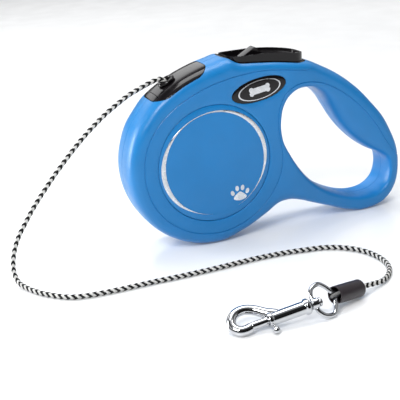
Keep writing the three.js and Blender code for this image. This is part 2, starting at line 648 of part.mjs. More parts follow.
function snapBolt() {
  const { knob, bore } = SNAP;
  const [tip, end] = [-27.9, -14.4];
  const radius = bore - 0.25;
  const rod = turnedAlongX([[0, tip], [radius - 0.3, tip], [radius, tip + 0.4], [radius, end], [0, end]], 16);
  const stem = new THREE.CylinderGeometry(0.6, 0.6, 4.4, 10).translate(knob, -3, 0);
  const ball = new THREE.SphereGeometry(1.5, 12, 8).translate(knob, -5.2, 0);
  return join(solid(rod), solid(stem), solid(ball));
}

function snapSpring() {
  return helix(1.25, 0.3, 5, -14.1, -6.5, 0, 0, 60).rotateY(Math.PI / 2);
}

function swivelRivet() {
  const profile = [[0, -1.9], [0.95, -1.9], [0.95, 1.7], [1.9, 1.7], [1.9, 2.6], [1.2, 3.2], [0, 3.2]];
  return turnedAlongX(profile, 16);
}

// ---- assembly ----
add('left_shell', housingShell(-1), BLUE);
add('right_shell', housingShell(1), BLUE);
add('left_disc_cover', discCover(-1), DARK_BLUE);
add('right_disc_cover', discCover(1), DARK_BLUE);
add('left_badge', badge(-1), BLACK);
add('right_badge', badge(1), BLACK);
SCREW_PLACES.forEach(([x, z], i) => add(`housing_screw_${i + 1}`, housingScrew(x, z), STEEL));
add('axle_pin', post(AXLE_RADIUS, -9.9, 9.9, 0, AXLE_HEIGHT, 24), STEEL);
add('spring_arbor', springArbor(), STEEL);
add('power_spring', powerSpring(), SPRING_STEEL);
add('reel', reel(), WHITE_PLASTIC);
add('spring_cover', springCover(), GREY_PLASTIC);
add('wound_cord', woundCord(), BRAID);
add('left_thrust_washer', washer(-7.65), STEEL);
add('right_thrust_washer', washer(7.5), STEEL);
const { front: outletFront, body: outletBody } = outletPieces();
add('outlet_body', outletBody, BLACK);
add('outlet_front_cap', outletFront, BLACK);
add('outlet_eyelet', eyelet(), BLACK);
add('button_bezel', buttonBezel(), BLACK);
add('brake_button', brakeButton(), BLACK);
add('lock_slider', lockSlider(), BLACK);
add('brake_carrier', brakeCarrier(), GREY_PLASTIC);
add('brake_return_spring', helix(2.2, 0.35, 4, 70.4, 79.6, 41, 0, 60), SPRING_STEEL);
add('free_cord', freeCord(), BRAID);
add('cord_sleeve', cordSleeve(), SLEEVE_BLACK, sleeveGroup);
add('cord_end_loop', cordLoop(), BRAID, sleeveGroup);
add('swivel_ring', swivelRing(), CHROME, ringGroup);
add('swivel_rivet', swivelRivet(), CHROME, snapGroup);
add('snap_body', snapBody(), CHROME, snapGroup);
add('snap_bolt', snapBolt(), CHROME, snapGroup);
add('snap_spring', snapSpring(), SPRING_STEEL, snapGroup);

export default root;
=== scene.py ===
"""Looks of a retractable dog leash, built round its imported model.

Shapes are worked out in design millimetres, with x measured from the reel's axle, and turned into
the row's metres when a mesh is made.
"""

import json
import math

import bmesh
import bpy
import numpy as np
from mathutils import Matrix, Vector
from mathutils.bvhtree import BVHTree
from mathutils.geometry import delaunay_2d_cdt


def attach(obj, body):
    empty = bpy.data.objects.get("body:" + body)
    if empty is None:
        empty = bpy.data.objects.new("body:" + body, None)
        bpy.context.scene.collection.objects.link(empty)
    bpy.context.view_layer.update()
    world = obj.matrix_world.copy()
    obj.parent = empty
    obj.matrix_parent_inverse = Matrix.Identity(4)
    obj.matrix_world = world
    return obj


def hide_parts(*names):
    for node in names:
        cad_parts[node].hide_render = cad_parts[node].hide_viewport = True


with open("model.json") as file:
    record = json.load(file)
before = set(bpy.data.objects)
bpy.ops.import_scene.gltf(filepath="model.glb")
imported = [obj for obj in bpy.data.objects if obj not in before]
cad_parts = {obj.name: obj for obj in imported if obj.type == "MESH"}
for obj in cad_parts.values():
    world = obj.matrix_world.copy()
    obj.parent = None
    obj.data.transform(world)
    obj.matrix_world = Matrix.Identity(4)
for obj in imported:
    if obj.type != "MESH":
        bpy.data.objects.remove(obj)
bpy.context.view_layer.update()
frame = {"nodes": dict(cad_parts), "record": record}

MM = 0.001

# ---- camera and studio, metres and watts ----
CAMERA = {
    "place": (-0.17616, -0.384473, 0.170359),
    "right": (0.92912, -0.36426, -0.06360),
    "up": (0.18191, 0.30052, 0.93626),
    "forward": (0.32193, 0.88147, -0.34549),
    "lens": 80.2,
    "sensor": 36,
}
LIGHT_TARGET = (0, -0.02, 0.03)
LIGHTS = [
    ("key_softbox", (-0.5, -0.55, 0.75), (0.4, 0.4), 8),
    ("nose_strip", (-0.72, 0.44, 0.2), (0.25, 0.5), 5),
    ("top_softbox", (0.1, 0.25, 0.9), (0.8, 0.5), 6),
    ("back_softbox", (-0.15, 0.9, 0.5), (0.9, 0.35), 1.1),
]
WORLD_STRENGTH = 0.62
WORLD_TINT = (1, 1.01, 1.03)
WORLD_FRONT = {"From Min": -0.75, "From Max": -0.3, "To Min": 0.03}     # how it darkens towards -Y
# brightness of the surroundings, from straight down (0) to straight up (1)
WORLD_STOPS = [
    (0, 1), (0.5, 1), (0.53, 0.03), (0.61, 0.03), (0.65, 1), (0.8, 1), (0.85, 0.1), (0.93, 0.1), (1, 1),
]
# painted light: the floor glows more with distance from the object, and a little even beside it, which
# lightens its shadows
FLOOR_PAINTED_GLOW = {"From Min": 0.12, "From Max": 0.7, "To Min": 0.1, "To Max": 0.45}     # by distance
FLOOR_REACH = 4.0

# ---- driving dimensions, millimetres ----
CENTRE_X = 31.27
AXLE_HEIGHT = 41
NOSE_RADIUS = 41.6
HALF_THICKNESS = 12.6
INNER_HALF = 9.4
WALL = 2.4
GAP = 0.3
SEAM = 0.08                     # half the gap of the parting line
SEAM_CHAMFER = 0.16
EDGE_POWER = 3.2
TAPER = (38, 78, 0.74)          # the thickness falls to this share between these two x
COVER_RADIUS = 28.3
COVER_DEPTH = 1.7
COVER_CROWN = 0.7
RECESS_LIP = 0.18
GROOVE_RADIUS = 0.3
SWIRL = {"radius": 25.4, "first": -97, "turn": -328, "thin": 0.3, "left": 1.9, "right": 1.7, "split": 0.46}
PAW = {"x": 11.5, "z": 22.5, "size": 3.1}
BADGE = {"x": 24, "z": 73.2, "long": 14, "short": 5.4, "tilt": 0.157, "depth": 1.2, "crown": 0.6}
BADGE_OVAL = {"inner": 0.735, "outer": 0.785, "stretch": 1.06}
BONE = {"long": 4.2, "wide": 0.95, "knuckle": 1.15, "sweep": 195}
BUTTON = {"front": 10.8, "rear": 51.2, "half": 8.6, "corner": 6.5, "bottom": 82.2, "lip": 1.3}
BUTTON_TOP = [(10.8, 89.4), (13, 89.1), (17, 88.9), (22, 88.9), (27, 88.9), (33, 88.6), (40, 87.9), (46, 87),
              (51.2, 86.2)]
TROUGH = {"depth": 2.2, "end": 31.4}
DISH_DEPTH = 0.7
LOCK_HALF = 2.8
LOCK_CENTRE = (26, 88.7)
LOCK_RIDGE = [(19.8, 87.05), (20.6, 87.5), (26.5, 90.9), (27.4, 91.15), (28.2, 90.75), (30.4, 88),
              (30.8, 87.05)]
BEZEL = {"wall": 1.1, "bottom": 78.6}
OUTLET = {"x": -13.4, "z": 80.7, "tilt": 0.478, "long": 14.9, "half": 11.4, "depth": 4.2, "corner": 7.2}
EYELET = {"x": -16.8, "z": 79.8, "ring": 3.3}
OUTLET_SEAM_X = -24.2
SCREW_PLACES = [(-25.8, 67.8), (-26.6, 15), (25.6, 13.6), (57.6, 72.6), (98.8, 30.2)]
SCREW = {"post": 3.4, "shaft": 1.5, "head": 2.8, "seat": 6.4}
CORE_RADIUS = 0.72
BRAID = {"pitch": 6.2, "strands": 4, "samples": 20, "centre": 0.9, "wave": 0.12, "thick": 0.17, "wide": 0.5}
SLEEVE = {"x": 14.6, "y": -98.4, "z": 6.4, "yaw": 0.345, "pitch": 0.152, "radius": 3.8, "bore": 3.35,
          "cavity": 8.4, "length": 16.2}
RING = {"x": 10.5, "y": -99.3, "z": 6.3, "nose": 6.3, "collar": 6.6, "wire": 1, "tilt": 0.8, "yaw": 0.26}
SNAP = {"pitch": -0.125, "yaw": -0.02, "roll": 0.47, "barrel": 3.1, "bore": 1.9, "front": -20.6,
        "rear": -2.2, "knob": -19.4, "drop": 5.2, "ball": 1.5, "stem": 0.6}

# x, z and the width of the rounding there, clockwise
OUTER_POINTS = [
    (-37.6, 60.2, 6.6), (-32.7, 67.3, 6.6), (-26.4, 74.1, 6.6), (-14.2, 81.6, 6.5),
    (-2.6, 86.1, 6.6), (5, 88, 6.8), (10.6, 89.1, 6.2), (15, 87.3, 5), (23, 86.3, 4.2),
    (33, 85.3, 4), (43, 83.8, 4), (52.5, 82.2, 4.6), (61.4, 78.1, 6), (71, 72.5, 6.6),
    (80.7, 64.8, 6.8), (88.8, 56.3, 7), (95.4, 48.3, 7), (99.8, 40.3, 6.4), (102.7, 33, 5),
    (104.1, 25.5, 4.2), (104.2, 18.5, 4.4), (103.1, 12, 4.8), (100.2, 6.2, 5.2), (95.4, 2, 5.2),
    (89.2, -0.1, 5), (81, -0.7, 5), (72, 1.7, 4.4), (62, 5.8, 4.2), (52.9, 9.4, 4.8),
    (46, 12.1, 6.4), (39.9, 13.4, 8.5), (33.8, 12.8, 8), (28, 9.6, 7), (22.5, 6.7, 6.6),
    (17.4, 4.2, 6.6), (11.4, 1.9, 6.6),
]
NOSE_ARC = {"first": -84, "last": -192, "step": -15, "width": 6.7, "stretch": 1.013}
LOOP_POINTS = [
    (35.9, 52, 2), (36.3, 57.4, 2.2), (37.6, 62.2, 2.6), (40.4, 66.4, 2.8), (44.6, 69, 2.9),
    (49.2, 69.6, 3), (53.9, 68.7, 3.4), (58.2, 66, 4.6), (61.9, 62, 7), (65.5, 55.8, 9.6),
    (70.8, 47.3, 10.8), (77.8, 39.3, 11), (86, 32.5, 9.8), (93.2, 28.5, 5.8), (97, 25.2, 2.4),
    (97.8, 19.4, 2), (95.7, 12.8, 2.2), (90.4, 8.9, 2.3), (82.6, 7.9, 2.3), (74.4, 9.4, 2.4),
    (66.6, 12.5, 2.6), (60, 16.2, 2.8), (54.8, 20.1, 3), (49.7, 25, 3.2), (45, 31.2, 3.2),
    (40.6, 38.4, 2.9), (37.1, 45.4, 2.3),
]
# The styling groove on each side: along the top, round the nose, up past the loop and to the tail.
GROOVE_POINTS = [
    (55, 80.4), (53.4, 79.5), (51.4, 79), (48.4, 79), (45.6, 79.3), (40.3, 80.2), (35, 81),
    (29.9, 81.6), (24.8, 81.8), (19.7, 81.6), (14.6, 81.2), (9.6, 80.5), (4.5, 79.5), (-0.5, 78.3),
    (-5.5, 76.6), (-10.5, 74.5), (-15.6, 72), (-20.7, 68.6), (-25.3, 64.7), (-28.5, 60.9),
    (-30.8, 57.6), (-33, 53.2), (-34.7, 46), (-34.9, 38.5), (-33.6, 31), (-30.8, 24.2),
    (-25.4, 16.8), (-17.9, 11), (-9.6, 7.4), (-1.5, 6.1), (5.6, 6.6), (13.6, 9), (20.8, 13),
    (26.5, 18.2), (31.2, 24.8), (34, 31.4), (35, 37.4), (34.6, 43.4), (33.6, 50), (33.2, 56.5),
    (34.2, 62.2), (36.6, 67.4), (40.7, 71.1), (45.6, 72.8), (51.4, 72.8), (58.8, 71), (65.5, 67.6),
    (73.9, 61.8), (82.6, 53.6), (89.7, 44.6), (94.2, 37.4), (98.4, 31.2), (101.4, 28), (103.6, 26.4),
]
# The free cord, from inside the outlet to the sleeve: through the air, then along the floor.
CORD_ROUTE = [
    (-16.7, 0, 80.2), (-19.9, 0, 82.05), (-23.6, 0, 81.5), (-29.8, 0, 79.2), (-36.1, -0.1, 76.6),
    (-42.6, -0.2, 72.8), (-49.1, -0.3, 68.5), (-59.6, -0.4, 59.9), (-71.5, -0.6, 48.1),
    (-79.1, -0.8, 39.6), (-85, -1, 32.5), (-90, -1.4, 25.7), (-94.5, -2, 19), (-97.4, -3, 12.4),
    (-98.9, -5.6, 6), (-98.4, -11, 2.1), (-96, -17.8, 1.4), (-91.6, -25.6, 1.3),
    (-85.9, -32.2, 1.3), (-80.1, -36.8, 1.3), (-72.6, -38.9, 1.3), (-60, -39.8, 1.3),
    (-44, -39.8, 1.3), (-27, -40.3, 1.3), (-10.6, -40, 1.3), (6, -39.3, 1.3), (21.3, -40.1, 1.3),
    (31.4, -41.8, 1.3), (41, -44.2, 1.3), (48.8, -49.6, 1.3), (54.2, -57.6, 1.3),
    (56, -67.4, 1.3), (54.4, -76, 1.3), (49.8, -83, 1.4), (43.8, -88, 1.9), (38, -90.4, 2.8),
    (33.6, -91.7, 3.5), (30.1, -92.75, 3.95),
]
CORD_IN_SLEEVE = (27.1, -93.83, 4.44)     # where the cord ends, inside the sleeve
BOW_POINTS = [
    (-16, 1.2, 0), (-19.6, 3.6, 0), (-23.4, 6.8, 0), (-27.6, 8.6, 0), (-31.8, 8, 0),
    (-34.6, 5.2, 0), (-35.1, 1.9, 0), (-33.2, -0.5, 0), (-30.6, -1, 0), (-28.2, -0.6, 0),
]


# ---- camera, lights and floor ----
def placed(name, data):
    """A new object in the scene."""
    thing = bpy.data.objects.new(name, data)
    bpy.context.collection.objects.link(thing)
    return thing


def make_camera():
    data = bpy.data.cameras.new("camera")
    data.lens = CAMERA["lens"]
    data.sensor_width = CAMERA["sensor"]
    camera = placed("camera", data)
    axes = (Vector(CAMERA["right"]), Vector(CAMERA["up"]), -Vector(CAMERA["forward"]))
    pose = Matrix(axes).transposed().to_4x4()
    pose.translation = Vector(CAMERA["place"])
    camera.matrix_world = pose
    bpy.context.scene.camera = camera


def make_lights():
    for name, place, size, watts in LIGHTS:
        data = bpy.data.lights.new(name, "AREA")
        data.shape = "RECTANGLE"
        data.size, data.size_y = size
        data.energy = watts
        light = placed(name, data)
        light.location = place
        aim = Vector(LIGHT_TARGET) - Vector(place)
        light.rotation_euler = aim.to_track_quat("-Z", "Y").to_euler()


def set_inputs(node, values):
    for socket, value in values.items():
        node.inputs[socket].default_value = value


def make_world():
    """A white studio that is dark in front and has two dark bands, for the polished metal to mirror."""
    world = bpy.data.worlds.new("studio")
    world.use_nodes = True
    nodes, links = world.node_tree.nodes, world.node_tree.links
    background = nodes["Background"]
    background.inputs["Strength"].default_value = WORLD_STRENGTH
    position = nodes.new("ShaderNodeTexCoord")
    split = nodes.new("ShaderNodeSeparateXYZ")
    shift = nodes.new("ShaderNodeMapRange")
    ramp = nodes.new("ShaderNodeValToRGB")
    shift.inputs["From Min"].default_value = -1
    links.new(position.outputs["Generated"], split.inputs[0])
    links.new(split.outputs["Z"], shift.inputs["Value"])
    links.new(shift.outputs["Result"], ramp.inputs["Fac"])
    while len(ramp.color_ramp.elements) < len(WORLD_STOPS):
        ramp.color_ramp.elements.new(0.5)
    for element, (at, level) in zip(ramp.color_ramp.elements, WORLD_STOPS):
        element.position = at
        element.color = (*(level * tint for tint in WORLD_TINT), 1)
    front = nodes.new("ShaderNodeMapRange")
    set_inputs(front, WORLD_FRONT)
    shade = nodes.new("ShaderNodeVectorMath")
    shade.operation = "SCALE"
    links.new(split.outputs["Y"], front.inputs["Value"])
    links.new(ramp.outputs["Color"], shade.inputs[0])
    links.new(front.outputs["Result"], shade.inputs["Scale"])
    links.new(shade.outputs["Vector"], background.inputs["Color"])
    bpy.context.scene.world = world


# ---- materials ----
def new_look(name, color, roughness, metallic=0.0, specular=0.5):
    look = bpy.data.materials.new(name)
    look.use_nodes = True
    shader = look.node_tree.nodes["Principled BSDF"]
    set_inputs(shader, {"Base Color": (*color, 1), "Roughness": roughness, "Metallic": metallic,
                        "Specular IOR Level": specular})
    return look


def noise(look, scale, detail=2.0):
    """A noise texture in object space; the scale is in waves per metre."""
    nodes, links = look.node_tree.nodes, look.node_tree.links
    place = nodes.new("ShaderNodeTexCoord")
    texture = nodes.new("ShaderNodeTexNoise")
    texture.inputs["Scale"].default_value = scale
    texture.inputs["Detail"].default_value = detail
    links.new(place.outputs["Object"], texture.inputs["Vector"])
    return texture.outputs["Fac"]


def grain(look, scale, strength, distance):
    """Fine bumps all over, as on a sparked or polished mould."""
    nodes, links = look.node_tree.nodes, look.node_tree.links
    bump = nodes.new("ShaderNodeBump")
    set_inputs(bump, {"Strength": strength, "Distance": distance})
    links.new(noise(look, scale, 3), bump.inputs["Height"])
    links.new(bump.outputs["Normal"], nodes["Principled BSDF"].inputs["Normal"])


def vary(look, socket, scale, low, high):
    """Lets a noise drive a socket between two values or two colours."""
    nodes, links = look.node_tree.nodes, look.node_tree.links
    target = nodes["Principled BSDF"].inputs[socket]
    ramp = nodes.new("ShaderNodeValToRGB")
    ramp.color_ramp.elements[0].position = 0.35
    ramp.color_ramp.elements[1].position = 0.65
    for element, value in zip(ramp.color_ramp.elements, (low, high)):
        element.color = (*value, 1) if isinstance(value, tuple) else (value, value, value, 1)
    links.new(noise(look, scale), ramp.inputs["Fac"])
    links.new(ramp.outputs["Color"], target)


def plastic(name, color, roughness, depth=0.05, specular=0.5):
    look = new_look(name, color, roughness, specular=specular)
    shade = tuple(c * 0.94 for c in color)
    vary(look, "Base Color", 60, shade, color)
    vary(look, "Roughness", 350, roughness - 0.04, roughness + 0.04)
    grain(look, 4200, 0.35, depth * MM)
    return look


def gloss(name, color, roughness):
    look = new_look(name, color, roughness, specular=0.35)
    vary(look, "Roughness", 260, roughness - 0.03, roughness + 0.05)
    grain(look, 300, 0.06, 0.05 * MM)
    return look


def metal(name, color, roughness):
    look = new_look(name, color, roughness, metallic=1.0)
    vary(look, "Roughness", 500, roughness * 0.7, roughness * 1.4)
    grain(look, 900, 0.05, 0.03 * MM)
    return look


def yarn(name, color):
    look = new_look(name, color, 0.7, specular=0.3)
    vary(look, "Base Color", 2500, tuple(c * 0.6 for c in color), color)
    grain(look, 9000, 0.6, 0.05 * MM)
    return look


def floor_look():
    """Polished white, with painted light: a glow that grows with distance from the object stands in for light
    from a wall the floor runs up to, and a little glow beside the object lightens the shadows there.
    """
    look = new_look("floor_white", (0.84, 0.85, 0.86), 0.16)
    nodes, links = look.node_tree.nodes, look.node_tree.links
    place = nodes.new("ShaderNodeTexCoord")
    reach = nodes.new("ShaderNodeVectorMath")
    glow = nodes.new("ShaderNodeMapRange")
    reach.operation = "LENGTH"
    # painted light: emission by distance from the object, for light from a wall and lighter shadows near the
    # object
    set_inputs(glow, FLOOR_PAINTED_GLOW)
    links.new(place.outputs["Object"], reach.inputs[0])
    links.new(reach.outputs["Value"], glow.inputs["Value"])
    links.new(glow.outputs["Result"], nodes["Principled BSDF"].inputs["Emission Strength"])
    nodes["Principled BSDF"].inputs["Emission Color"].default_value = (1, 1, 1, 1)
    vary(look, "Roughness", 30, 0.14, 0.2)
    return look


def make_looks():
    looks = {
        "housing_blue": plastic("housing_blue", (0.010, 0.205, 0.535), 0.34, specular=0.45),
        "cover_blue": plastic("cover_blue", (0.010, 0.205, 0.535), 0.32, specular=0.45),
        "gloss_black": gloss("gloss_black", (0.006, 0.005, 0.006), 0.12),
        "grey_plastic": plastic("grey_plastic", (0.25, 0.26, 0.28), 0.5),
        "white_plastic": plastic("white_plastic", (0.75, 0.75, 0.71), 0.45),
        "steel": metal("steel", (0.45, 0.46, 0.48), 0.3),
        "spring_steel": metal("spring_steel", (0.3, 0.31, 0.33), 0.35),
        "chrome": metal("chrome", (0.58, 0.59, 0.61), 0.07),
        "braid": yarn("braid", (0.2, 0.2, 0.2)),
        "sleeve_black": plastic("sleeve_black", (0.02, 0.014, 0.018), 0.38, 0.08),
    }
    extra = {
        "silver_print": metal("silver_print", (0.72, 0.74, 0.77), 0.3),
        "yarn_black": yarn("yarn_black", (0.004, 0.004, 0.005)),
        "yarn_white": yarn("yarn_white", (0.8, 0.8, 0.78)),
        "core": yarn("core", (0.01, 0.01, 0.01)),
        "floor": floor_look(),
    }
    return looks, extra


LOOKS, EXTRA = make_looks()


# ---- mesh helpers ----
def mesh_piece(name, shape, *looks, sharp=32):
    """An object from (points in millimetres, faces, material index of each face or None)."""
    points, faces, marks = shape
    data = bpy.data.meshes.new(name)
    data.from_pydata([((p[0] - CENTRE_X) * MM, p[1] * MM, p[2] * MM) for p in points], [], faces)
    for look in looks:
        data.materials.append(look)
    if marks is not None:
        data.polygons.foreach_set("material_index", marks)
    clean(data)
    piece = placed(name, data)
    smooth(piece, sharp)
    return piece


def clean(data):
    """Welds points that coincide and turns all faces outwards."""
    bm = bmesh.new()
    bm.from_mesh(data)
    bmesh.ops.remove_doubles(bm, verts=bm.verts, dist=1e-7)
    bmesh.ops.recalc_face_normals(bm, faces=bm.faces)
    bm.to_mesh(data)
    bm.free()


def smooth(piece, angle):
    """Smooth shading, with edges sharper than the angle kept crisp."""
    piece.data.shade_smooth()
    piece.data.set_sharp_from_angle(angle=math.radians(angle))


def painted(piece, look):
    piece.data.materials.clear()
    piece.data.materials.append(look)
    return piece


def weighted(piece):
    """Shades each corner by the area of the faces round it, so a broad face beside a bevel stays even."""
    modifier = piece.modifiers.new("weighted", "WEIGHTED_NORMAL")
    modifier.keep_sharp = True
    return applied(piece)


def applied(piece):
    """Turns the piece's modifiers into its mesh."""
    graph = bpy.context.evaluated_depsgraph_get()
    data = bpy.data.meshes.new_from_object(piece.evaluated_get(graph))
    piece.modifiers.clear()
    piece.data = data
    return piece


def boolean(piece, operation, *tools):
    for tool in tools:
        modifier = piece.modifiers.new("boolean", "BOOLEAN")
        modifier.operation = operation
        modifier.solver = "EXACT"
        modifier.object = tool
        applied(piece)
        bpy.data.objects.remove(tool)
    return piece


def bevelled(piece, width, segments, angle):
    modifier = piece.modifiers.new("bevel", "BEVEL")
    modifier.width = width * MM
    modifier.segments = segments
    modifier.limit_method = "ANGLE"
    modifier.angle_limit = math.radians(angle)
    modifier.use_clamp_overlap = True
    return applied(piece)


def stand_for(piece, body, nodes):
    """Fixes a piece to its body, in place of the CAD nodes it shows in more detail."""
    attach(piece, body)
    if nodes:
        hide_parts(*nodes)
    return piece


def joined(*shapes):
    """Several shapes as one."""
    points, faces, marks = [], [], []
    for shape_points, shape_faces, shape_marks in shapes:
        start = len(points)
        points.extend(map(tuple, shape_points))
        faces.extend([start + i for i in face] for face in shape_faces)
        marks.extend(shape_marks if shape_marks is not None else [0] * len(shape_faces))
    return points, faces, marks


def moved(shape, matrix):
    points, faces, marks = shape
    return [tuple(matrix @ Vector(p)) for p in points], faces, marks


def spline(points, count, closed=False):
    """A centripetal Catmull-Rom curve through the points, at even steps."""
    control = np.array(points, float)
    if closed:
        control = np.vstack([control[-1], control, control[:2]])
    else:
        control = np.vstack([2 * control[0] - control[1], control, 2 * control[-1] - control[-2]])
    steps = np.linspace(0, 1, 40, endpoint=False)[:, None]
    dense = []
    for p0, p1, p2, p3 in zip(control, control[1:], control[2:], control[3:]):
        t0, t1, t2 = (math.sqrt(np.linalg.norm(b - a)) for a, b in ((p0, p1), (p1, p2), (p2, p3)))
        start = ((p1 - p0) / t0 - (p2 - p0) / (t0 + t1) + (p2 - p1) / t1) * t1
        end = ((p2 - p1) / t1 - (p3 - p1) / (t1 + t2) + (p3 - p2) / t2) * t1
        dense.append(p1 + start * steps + (-3 * p1 + 3 * p2 - 2 * start - end) * steps ** 2
                     + (2 * p1 - 2 * p2 + start + end) * steps ** 3)
    dense = np.vstack([*dense, control[-2]])
    lengths = np.concatenate([[0], np.cumsum(np.linalg.norm(np.diff(dense, axis=0), axis=1))])
    wanted = np.linspace(0, lengths[-1], count + 1 if closed else count)
    even = np.column_stack([np.interp(wanted, lengths, column) for column in dense.T])
    return even[:count]


def length_of(points):
    return float(np.linalg.norm(np.diff(np.array(points), axis=0), axis=1).sum())


def full_turn(count):
    """Even angles all the way round."""
    return np.linspace(0, 2 * math.pi, count, endpoint=False)


def frames_along(points, first_normal, closed=False):
    """Tangents and two normals along a curve, carried along it with the least turning."""
    points = np.array(points, float)
    if closed:
        tangents = np.roll(points, -1, 0) - np.roll(points, 1, 0)
    else:
        tangents = np.gradient(points, axis=0)
    tangents /= np.linalg.norm(tangents, axis=1)[:, None]
    normal = np.array(first_normal, float)
    normals = []
    for tangent in tangents:
        normal = normal - tangent * (normal @ tangent)
        normal /= np.linalg.norm(normal)
        normals.append(normal)
    normals = np.array(normals)
    return tangents, normals, np.cross(tangents, normals)


def sweep(points, radii, sides, closed=False, first_normal=(0, 0, 1)):
    """A tube along the points, of one radius or one for each point."""
    points = np.array(points, float)
    radii = np.broadcast_to(np.array(radii, float), len(points))
    _, normals, binormals = frames_along(points, first_normal, closed)
    angles = full_turn(sides)
    rings = (points[:, None] + normals[:, None] * (radii[:, None] * np.cos(angles))[..., None]
             + binormals[:, None] * (radii[:, None] * np.sin(angles))[..., None])
    return tube_faces(rings, closed)


def tube_faces(rings, closed):
    """Faces between rings of points, with end caps on an open tube."""
    count, sides = len(rings), len(rings[0])
    last = count if closed else count - 1
    faces = []
    for i in range(last):
        for j in range(sides):
            a, b = i * sides + j, i * sides + (j + 1) % sides
            c, d = ((i + 1) % count) * sides + (j + 1) % sides, ((i + 1) % count) * sides + j
            faces.append([a, b, c, d])
    if not closed:
        faces.append(list(range(sides))[::-1])
        faces.append([(count - 1) * sides + j for j in range(sides)])
    return np.array(rings).reshape(-1, 3).tolist(), faces, None


def lathe(profile, sides, closed=False):
    """A profile of (radius, height) pairs turned about +Z."""
    angles = full_turn(sides)
    rings = [[(r * math.cos(a), r * math.sin(a), h) for a in angles] for r, h in profile]
    return tube_faces(rings, closed)


def rounded(profile, radius, steps=5):
    """An open profile with its inner corners rounded."""
    result = [profile[0]]
    for before, corner, after in zip(profile, profile[1:], profile[2:]):
        a, b, c = (np.array(p, float) for p in (before, corner, after))
        reach = min(radius, np.linalg.norm(a - b) * 0.45, np.linalg.norm(c - b) * 0.45)
        start = b + (a - b) / np.linalg.norm(a - b) * reach
        end = b + (c - b) / np.linalg.norm(c - b) * reach
        for t in np.linspace(0, 1, steps):
            result.append(tuple((1 - t) ** 2 * start + 2 * t * (1 - t) * b + t ** 2 * end))
    return [*result, profile[-1]]


def prism(outline, low, high):
    """An outline of (x, y) pairs, extruded along z."""
    rings = [[(x, y, z) for x, y in outline] for z in (low, high)]
    return tube_faces(rings, False)


def rounded_rectangle(x0, x1, half, corner):
    outline = []
    centres = [(x1 - corner, -half + corner, -90), (x1 - corner, half - corner, 0),
               (x0 + corner, half - corner, 90), (x0 + corner, -half + corner, 180)]
    for x, y, first in centres:
        for angle in np.radians(np.linspace(first, first + 90, 14)):
            outline.append((x + corner * math.cos(angle), y + corner * math.sin(angle)))
    return outline


def along_y(shape, x, z, side):
    """Turns a shape made about +Z so that its +Z points to the side, at x and z."""
    return moved(shape, Matrix.Translation((x, 0, z)) @ Matrix.Rotation(-side * math.pi / 2, 4, "X"))


# ---- the housing's shells ----
def thinning(x):
    """The share of the full thickness that is left at x."""
    first, last, share = TAPER
    t = np.clip((np.asarray(x) - first) / (last - first), 0, 1)
    return 1 + (share - 1) * t * t * (3 - 2 * t)


def edge_drop(height):
    """How far in the rounded edge is, as a share of its width, at a share of the half thickness."""
    return 1 - (1 - height ** EDGE_POWER) ** (1 / EDGE_POWER)


def outline_of(points, count, side):
    """x, z, rounding width and normal at even steps along a closed outline."""
    places = spline(points, count, closed=True)
    across = np.roll(places, -1, 0) - np.roll(places, 1, 0)
    along = across[:, :2] / np.linalg.norm(across[:, :2], axis=1)[:, None]
    normals = np.column_stack([side * along[:, 1], -side * along[:, 0]])
    return places, normals


def nose_points():
    """The round nose, as points of the outline."""
    points = []
    for angle in np.arange(NOSE_ARC["first"], NOSE_ARC["last"] - 1, NOSE_ARC["step"]):
        turn = math.radians(angle)
        x = NOSE_RADIUS * NOSE_ARC["stretch"] * math.cos(turn)
        points.append((x, AXLE_HEIGHT + NOSE_RADIUS * math.sin(turn), NOSE_ARC["width"]))
    return points


def outline_rings(outline, wall, half, steps, chamfer):
    """Rings of points from the parting plane out to the flat side, for the +Y half."""
    places, normals = outline
    heights = np.sin(np.linspace(math.asin(SEAM / half), math.pi / 2, steps))
    levels = [(h, 0.0) for h in heights]
    if chamfer:
        levels = [(SEAM / half, chamfer), ((SEAM + chamfer) / half, 0.0), *levels[1:]]
    rings = []
    for height, extra in levels:
        inward = wall + (places[:, 2] - wall) * edge_drop(height) + extra
        flat = places[:, :2] + normals * inward[:, None]
        rings.append(np.column_stack([flat[:, 0], height * half * thinning(flat[:, 0]), flat[:, 1]]))
    return rings


def strip(rings):
    """Faces between closed rings, with no caps."""
    points, faces, _ = tube_faces(rings, False)
    return points, faces[:-2], None


def inside(polygon, points):
    """Which (x, z) points lie in a closed polygon."""
    x, z = points[:, 0], points[:, 1]
    result = np.zeros(len(points), bool)
    for (x1, z1), (x2, z2) in zip(polygon, np.roll(polygon, -1, 0)):
        crosses = (z1 > z) != (z2 > z)
        if z1 != z2:
            result ^= crosses & (x < (x2 - x1) * (z - z1) / (z2 - z1) + x1)
    return result


def filled(outer, holes, half, spacing):
    """The side face between an outer outline and its holes, all (x, z) arrays."""
    rims = [outer, *holes]
    low, high = outer.min(0), outer.max(0)
    rows = np.arange(low[1], high[1], spacing)
    grid = np.array([(x + (i % 2) * spacing / 2, z) for i, z in enumerate(rows)
                     for x in np.arange(low[0], high[0], spacing)])
    keep = inside(outer, grid)
    for hole in holes:
        keep &= ~inside(hole, grid)
    edge_points = np.vstack(rims)
    grid = grid[keep]
    nearest = np.array([np.min(np.hypot(*(edge_points - g).T)) for g in grid])
    grid = grid[nearest > spacing * 0.45]
    points = np.vstack([edge_points, grid])
    edges, start = [], 0
    for rim in rims:
        edges += [(start + i, start + (i + 1) % len(rim)) for i in range(len(rim))]
        start += len(rim)
    places, _, faces, *_ = delaunay_2d_cdt([Vector(p) for p in points], edges, [], 0, 1e-5)
    places = np.array([tuple(p) for p in places])
    centres = np.array([places[list(face)].mean(0) for face in faces])
    keep = inside(outer, centres)
    for hole in holes:
        keep &= ~inside(hole, centres)
    faces = [list(face) for face, kept in zip(faces, keep) if kept]
    height = half * thinning(places[:, 0])
    return np.column_stack([places[:, 0], height, places[:, 1]]).tolist(), faces, None


def circle_xz(radius):
    angles = full_turn(180)
    return np.column_stack([radius * np.cos(angles), AXLE_HEIGHT + radius * np.sin(angles)])


